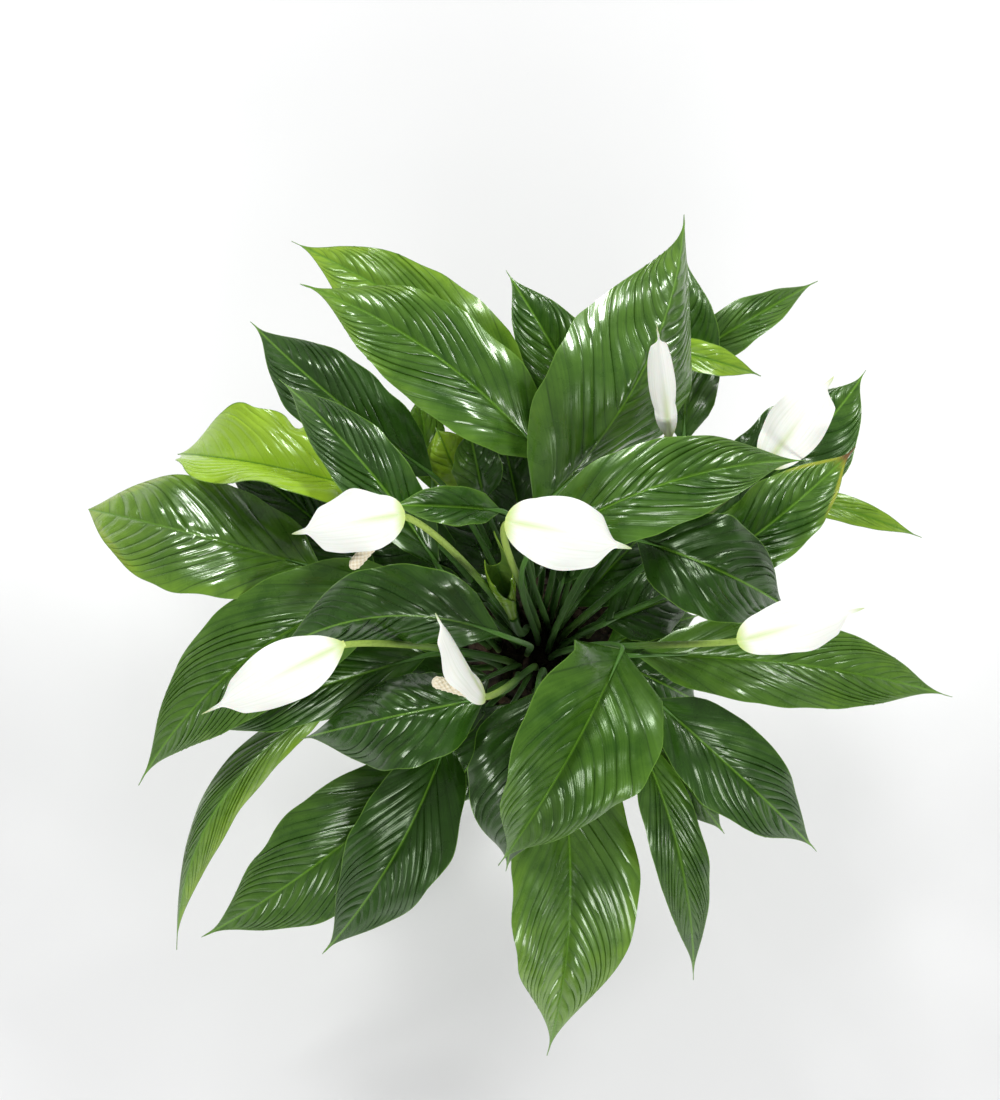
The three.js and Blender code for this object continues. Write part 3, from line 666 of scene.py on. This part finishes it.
def make_soil(looks):
    """A crumbly mound that fills the pot, strewn with bark chips."""
    deselect()
    bpy.ops.mesh.primitive_grid_add(x_subdivisions=110, y_subdivisions=110, size=2)
    soil = bpy.context.object
    flat = points_of(soil)
    x = flat[:, 0] * np.sqrt(1 - flat[:, 1] ** 2 / 2) * SOIL_RADIUS
    y = flat[:, 1] * np.sqrt(1 - flat[:, 0] ** 2 / 2) * SOIL_RADIUS
    distance = np.hypot(x, y) / SOIL_RADIUS
    crumbs = [
        noise.noise(Vector((a, b, 0)) * 90) * 1.6 + noise.noise(Vector((a, b, 0.5)) * 320) * 1.1
        for a, b in zip(x, y)
    ]
    z = SOIL_TOP - 1.5 * MM + np.array(crumbs) * MM - 2.5 * MM * distance ** 4
    move_points(soil, np.stack([x, y, z], axis=1))
    apply_modifier(soil, "SOLIDIFY", thickness=MM, offset=-1)
    top = np.stack([x, y, z], axis=1)
    lean = (POT_RIM_RADIUS - RIM_LIP - POT_FOOT_RADIUS) / POT_HEIGHT
    foot = POT_FLOOR + 4 * MM
    narrow = 1 - lean * (SOIL_TOP - foot) / SOIL_RADIUS
    deep = np.stack([x * narrow, y * narrow, 0 * z + foot], axis=1)
    move_points(soil, np.concatenate([top, deep]))
    soil.data.materials.append(looks["soil"])
    smooth(soil, 60)
    settle(soil, "soil")

    hand = random.Random(7)
    deselect()
    bpy.ops.mesh.primitive_cube_add(size=1)
    chip = bpy.context.object
    bpy.ops.object.mode_set(mode="EDIT")
    bpy.ops.mesh.select_all(action="SELECT")
    bpy.ops.mesh.subdivide(number_cuts=1)
    bpy.ops.object.mode_set(mode="OBJECT")
    points = points_of(chip)
    rough = [[hand.uniform(-0.09, 0.09) for _ in range(3)] for _ in points]
    move_points(chip, unit(points) * 0.28 + points * 0.5 + np.array(rough))
    chips = []
    for _ in range(CHIPS):
        copy = bpy.data.objects.new("chip", chip.data.copy())
        bpy.context.scene.collection.objects.link(copy)
        far = (SOIL_RADIUS - 5 * MM) * math.sqrt(hand.random())
        turn = hand.uniform(0, 2 * math.pi)
        place = Vector((far * math.cos(turn), far * math.sin(turn), SOIL_TOP - 0.6 * MM))
        size = [hand.uniform(4, 11) * MM, hand.uniform(3, 6) * MM, hand.uniform(1.5, 3) * MM]
        lie = Matrix.Rotation(hand.uniform(0, 6.28), 4, "Z")
        lie = lie @ Matrix.Rotation(hand.uniform(-0.4, 0.4), 4, "X")
        copy.data.transform(Matrix.Translation(place) @ lie @ Matrix.Diagonal((*size, 1)))
        chips.append(copy)
    bpy.data.objects.remove(chip)
    bark = join(*chips)
    bark.data.materials.append(looks["bark"])
    bark.name = "soil_bark"
    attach(bark, "root")


# ---- finishes ----
class Finish:
    """A material and the few short calls that lay out its nodes."""

    def __init__(self, name, **constants):
        self.material = bpy.data.materials.new(name)
        self.material.use_nodes = True
        self.tree = self.material.node_tree
        self.surface = self.tree.nodes["Principled BSDF"]
        for socket, value in constants.items():
            self.surface.inputs[socket.replace("_", " ")].default_value = value

    def add(self, kind, inputs=(), **settings):
        node = self.tree.nodes.new("ShaderNode" + kind)
        for name, value in settings.items():
            setattr(node, name, value)
        for socket, value in dict(inputs).items():
            self.feed(node.inputs[socket], value)
        return node

    def feed(self, socket, value):
        if isinstance(value, bpy.types.NodeSocket):
            self.tree.links.new(value, socket)
        else:
            socket.default_value = value

    def value(self, name):
        return self.add("Attribute", attribute_name=name).outputs["Fac"]

    def sum(self, operation, a, b=0.0, c=0.0):
        return self.add("Math", {0: a, 1: b, 2: c}, operation=operation).outputs[0]

    def ease(self, value, low, high, start=0.0, end=1.0):
        inputs = {"Value": value, "From Min": low, "From Max": high, "To Min": start, "To Max": end}
        return self.add("MapRange", inputs, interpolation_type="SMOOTHSTEP").outputs["Result"]

    def mix(self, amount, a, b):
        inputs = {0: amount, 6: a, 7: b}
        return self.add("Mix", inputs, data_type="RGBA").outputs[2]

    def noise(self, place, scale, detail=3.0):
        inputs = {"Vector": place, "Scale": scale, "Detail": detail}
        return self.add("TexNoise", inputs).outputs["Fac"]

    def ramp(self, amount, *stops):
        node = self.add("ValToRGB", {"Fac": amount})
        elements = node.color_ramp.elements
        for element, (place, color) in zip(elements, (stops[0], stops[-1])):
            element.position, element.color = place, color
        for place, color in stops[1:-1]:
            elements.new(place).color = color
        return node.outputs["Color"]

    def object_place(self):
        return self.add("TexCoord").outputs["Object"]

    def stretched_map(self, *scale):
        """The piece's own map, drawn out so that a pattern on it runs along the side veins."""
        place = self.add("TexCoord").outputs["UV"]
        return self.add("Mapping", {"Vector": place, "Scale": scale}).outputs["Vector"]

    def bump(self, height, distance, strength=1.0):
        inputs = {"Height": height, "Distance": distance, "Strength": strength}
        self.feed(self.surface.inputs["Normal"], self.add("Bump", inputs).outputs["Normal"])

    def finish(self, color, roughness):
        self.feed(self.surface.inputs["Base Color"], color)
        self.feed(self.surface.inputs["Roughness"], roughness)
        return self.material


def rgb(red, green, blue):
    return (red, green, blue, 1.0)


LEAF_GREENS = [
    (0.0, rgb(0.010, 0.032, 0.003)),
    (0.25, rgb(0.021, 0.070, 0.005)),
    (0.5, rgb(0.068, 0.160, 0.014)),
    (0.75, rgb(0.150, 0.290, 0.020)),
    (1.0, rgb(0.310, 0.500, 0.026)),
]
# Painted shade: the dark green laid along the vein creases.
CREASE_SHADE_GREEN = rgb(0.010, 0.030, 0.004)
RIB_GREEN = rgb(0.13, 0.29, 0.025)
YELLOW = rgb(0.42, 0.42, 0.03)
MARGIN_GREEN = rgb(0.12, 0.25, 0.03)


def leaf_finish(name, under=False, young=False):
    """Green by each leaf's own lightness, streaked along the veins, with a pale midrib and margin,
    painted shade in the vein creases and painted light on the bulges between them.
    """
    look = Finish(name, Coat_Roughness=0.12, Specular_Tint=rgb(0.75, 1.0, 0.62))
    if not under:
        look.feed(look.surface.inputs["Coat Weight"], look.sum("MULTIPLY", look.value("gloss"), 0.4))
    phase = look.add("SeparateXYZ", {"Vector": look.add("TexCoord").outputs["UV"]}).outputs["Y"]
    vein = look.sum("ABSOLUTE", look.sum("SINE", look.sum("MULTIPLY", phase, math.pi)))
    fine = look.sum("ABSOLUTE", look.sum("SINE", look.sum("MULTIPLY", phase, 5 * math.pi)))
    # Painted shade: 1 along each side vein's crease, where the leaf's green is darkened.
    crease_shade = look.ease(vein, 0.0, 0.16, 1.0, 0.0)
    # Painted light: 1 on the bulges between the side veins, where the leaf's green is lightened.
    band = look.ease(vein, 0.2, 0.9)
    fine_lines = look.ease(fine, 0.0, 0.5, 1.0, 0.0)
    streaks = look.noise(look.stretched_map(3.0, 7.0, 1.0), 1.0)
    clouds = look.noise(look.object_place(), 28.0)
    mottle = look.noise(look.object_place(), 75.0, 5.0)
    light = look.sum("ADD", look.value("light"), look.sum("MULTIPLY", look.value("gold"), 0.42))
    light = look.sum("MULTIPLY_ADD", look.sum("SUBTRACT", streaks, 0.5), 0.16, light)
    light = look.sum("MULTIPLY_ADD", look.sum("SUBTRACT", clouds, 0.5), 0.3, light)
    light = look.sum("MULTIPLY_ADD", look.sum("SUBTRACT", mottle, 0.5), 0.3, light)
    # Painted light on the bulges between the veins.
    light = look.sum("MULTIPLY_ADD", band, 0.05, light)
    light = look.sum("MULTIPLY_ADD", fine_lines, -0.03, light)
    color = look.ramp(light, *LEAF_GREENS)
    # How strongly the painted shade darkens the creases, varying with the clouds and mottle.
    depth = look.ease(look.sum("ADD", clouds, mottle), 0.75, 1.3, 0.15, 0.25 if young else 0.75)
    color = look.mix(look.sum("MULTIPLY", crease_shade, depth), color, CREASE_SHADE_GREEN)
    color = look.mix(look.ease(look.value("gold"), 0.72, 0.95, 0.0, 0.7), color, YELLOW)
    color = look.mix(look.ease(look.value("margin"), 0.2, 0.7, 0.8, 0.0), color, MARGIN_GREEN)
    rib = look.ease(look.value("rib"), 0.3, 1.1, 0.85, 0.0)
    color = look.mix(rib, color, RIB_GREEN)
    if under:
        color = look.mix(0.55, color, rgb(0.10, 0.21, 0.06))
    color = look.mix(look.value("brown"), color, rgb(0.16, 0.075, 0.025))
    rough = look.sum("MULTIPLY_ADD", mottle, 0.3, 0.42 if under else 0.14)
    height = look.sum("MULTIPLY_ADD", fine, 0.25, look.sum("MULTIPLY", streaks, 0.9))
    height = look.sum("MULTIPLY_ADD", mottle, 1.6, height)
    look.bump(height, 0.3 * MM, 0.5 if young else 0.8)
    return look.finish(color, rough)


def stalk_finish(name, low, high, tip, heights):
    """Streaked lengthwise, and changing colour from the soil upwards."""
    look = Finish(name)
    place = look.object_place()
    drawn_out = look.add("Mapping", {"Vector": place, "Scale": (600, 600, 30)}).outputs[0]
    streaks = look.noise(drawn_out, 1.0)
    height = look.add("SeparateXYZ", {"Vector": place}).outputs["Z"]
    rise = look.ease(look.sum("MULTIPLY_ADD", streaks, 20 * MM, height), heights[0], heights[1])
    color = look.mix(rise, low, high)
    color = look.mix(look.ease(height, heights[1], heights[2]), color, tip)
    color = look.mix(look.ease(streaks, 0.45, 0.75, 0.0, 0.3), color, rgb(0.03, 0.09, 0.015))
    look.bump(streaks, 0.2 * MM, 0.5)
    return look.finish(color, 0.42)


def hood_finish():
    look = Finish("spathe white", Subsurface_Weight=0.12, Subsurface_Scale=2 * MM)
    long_streaks = look.noise(look.stretched_map(26.0, 1.5, 1.0), 1.0)
    clouds = look.noise(look.object_place(), 60.0)
    color = look.ramp(long_streaks, (0.3, rgb(0.80, 0.82, 0.74)), (0.6, rgb(0.90, 0.90, 0.85)))
    color = look.mix(look.value("base"), color, rgb(0.46, 0.60, 0.12))
    color = look.mix(look.sum("MULTIPLY", look.value("tip"), 0.75), color, rgb(0.45, 0.58, 0.16))
    look.bump(look.sum("ADD", long_streaks, look.sum("MULTIPLY", clouds, 0.5)), 0.25 * MM, 0.6)
    return look.finish(color, 0.42)


def spike_finish():
    look = Finish("spadix cream")
    grain = look.noise(look.object_place(), 900.0)
    # Painted shade in the gaps between the florets, with their crowns painted paler.
    color = look.mix(look.value("floret_painted_light"), rgb(0.70, 0.58, 0.36), rgb(0.92, 0.86, 0.69))
    color = look.mix(look.sum("MULTIPLY", grain, 0.3), color, rgb(0.95, 0.90, 0.76))
    color = look.mix(look.value("neck"), color, rgb(0.62, 0.68, 0.36))
    look.bump(grain, 0.2 * MM, 0.8)
    return look.finish(color, 0.7)


def glaze_finish():
    look = Finish("white glaze", Coat_Weight=0.4, Coat_Roughness=0.05)
    place = look.object_place()
    pooled = look.noise(place, 14.0)
    specks = look.noise(place, 420.0, 1.0)
    color = look.mix(pooled, rgb(0.74, 0.73, 0.69), rgb(0.83, 0.82, 0.79))
    color = look.mix(look.ease(specks, 0.74, 0.8, 0.0, 0.35), color, rgb(0.45, 0.40, 0.33))
    look.bump(look.noise(place, 55.0), 0.35 * MM, 0.35)
    return look.finish(color, look.sum("MULTIPLY_ADD", pooled, 0.12, 0.14))


def earth_finish(name, dark, pale, scale):
    look = Finish(name)
    place = look.object_place()
    lumps = look.noise(place, scale, 6.0)
    color = look.ramp(lumps, (0.35, dark), (0.7, pale))
    look.bump(look.noise(place, scale * 6, 4.0), 0.6 * MM, 0.9)
    return look.finish(color, 0.92)


def make_looks():
    return {
        "upper": leaf_finish("leaf upper side"),
        "young upper": leaf_finish("young leaf upper side", young=True),
        "under": leaf_finish("leaf under side", under=True),
        "leaf stalk": stalk_finish("leaf stalk", rgb(0.20, 0.27, 0.09), rgb(0.060, 0.150, 0.025),
                                   rgb(0.070, 0.190, 0.022), (0.135, 0.175, 0.38)),
        "flower stalk": stalk_finish("flower stalk", rgb(0.14, 0.24, 0.05), rgb(0.055, 0.160, 0.018),
                                     rgb(0.36, 0.50, 0.09), (0.15, 0.30, 0.46)),
        "hood": hood_finish(),
        "spike": spike_finish(),
        "glaze": glaze_finish(),
        "soil": earth_finish("potting soil", rgb(0.012, 0.008, 0.005), rgb(0.050, 0.030, 0.018), 160.0),
        "bark": earth_finish("bark chips", rgb(0.014, 0.008, 0.005), rgb(0.070, 0.038, 0.020), 70.0),
    }


# ---- camera, light and floor ----
LOOK_AT = Vector((-29, 63, 300)) * MM
CAMERA_DISTANCE = 2.0
CAMERA_ELEVATION = math.radians(85)
LENS = 96.25  # for the 36 mm long side


def make_camera():
    back = Vector((0, -math.cos(CAMERA_ELEVATION), math.sin(CAMERA_ELEVATION)))
    bpy.ops.object.camera_add(
        location=LOOK_AT + back * CAMERA_DISTANCE,
        rotation=(math.pi / 2 - CAMERA_ELEVATION, 0, 0))
    camera = bpy.context.object
    camera.data.lens = LENS
    camera.data.sensor_width = 36
    camera.data.clip_start, camera.data.clip_end = 0.05, 20
    bpy.context.scene.camera = camera


def add_softbox(place, size, power):
    bpy.ops.object.light_add(type="AREA", location=place)
    light = bpy.context.object
    light.data.size = size
    light.data.energy = power
    aim = Vector((0, 0, 0.25)) - light.location
    light.rotation_euler = aim.to_track_quat("-Z", "Y").to_euler()


def make_studio():
    bpy.ops.mesh.primitive_plane_add(size=14, location=(0, 0, 0))
    floor = bpy.context.object
    floor.name = "floor"
    look = Finish("studio floor")
    floor.data.materials.append(look.finish(rgb(0.84, 0.84, 0.84), 0.9))
    world = bpy.data.worlds.new("studio")
    bpy.context.scene.world = world
    world.use_nodes = True
    backdrop = world.node_tree.nodes["Background"]
    backdrop.inputs["Color"].default_value = rgb(0.98, 0.99, 1.0)
    backdrop.inputs["Strength"].default_value = 0.30
    add_softbox((-1.3, 1.5, 2.1), 0.55, 42)
    add_softbox((1.5, 1.2, 2.1), 0.55, 36)
    add_softbox((0.0, -2.4, 1.9), 1.0, 48)
    bpy.context.scene.view_settings.view_transform = "Standard"


make_camera()
make_studio()
looks = make_looks()
make_pot(looks)
make_soil(looks)
for number, row in enumerate(LEAVES, start=1):
    make_leaf(row, number, looks)
make_low_leaves(looks)
make_spear(looks)
for number, row in enumerate(FLOWERS, start=1):
    make_flower(row, number, looks)
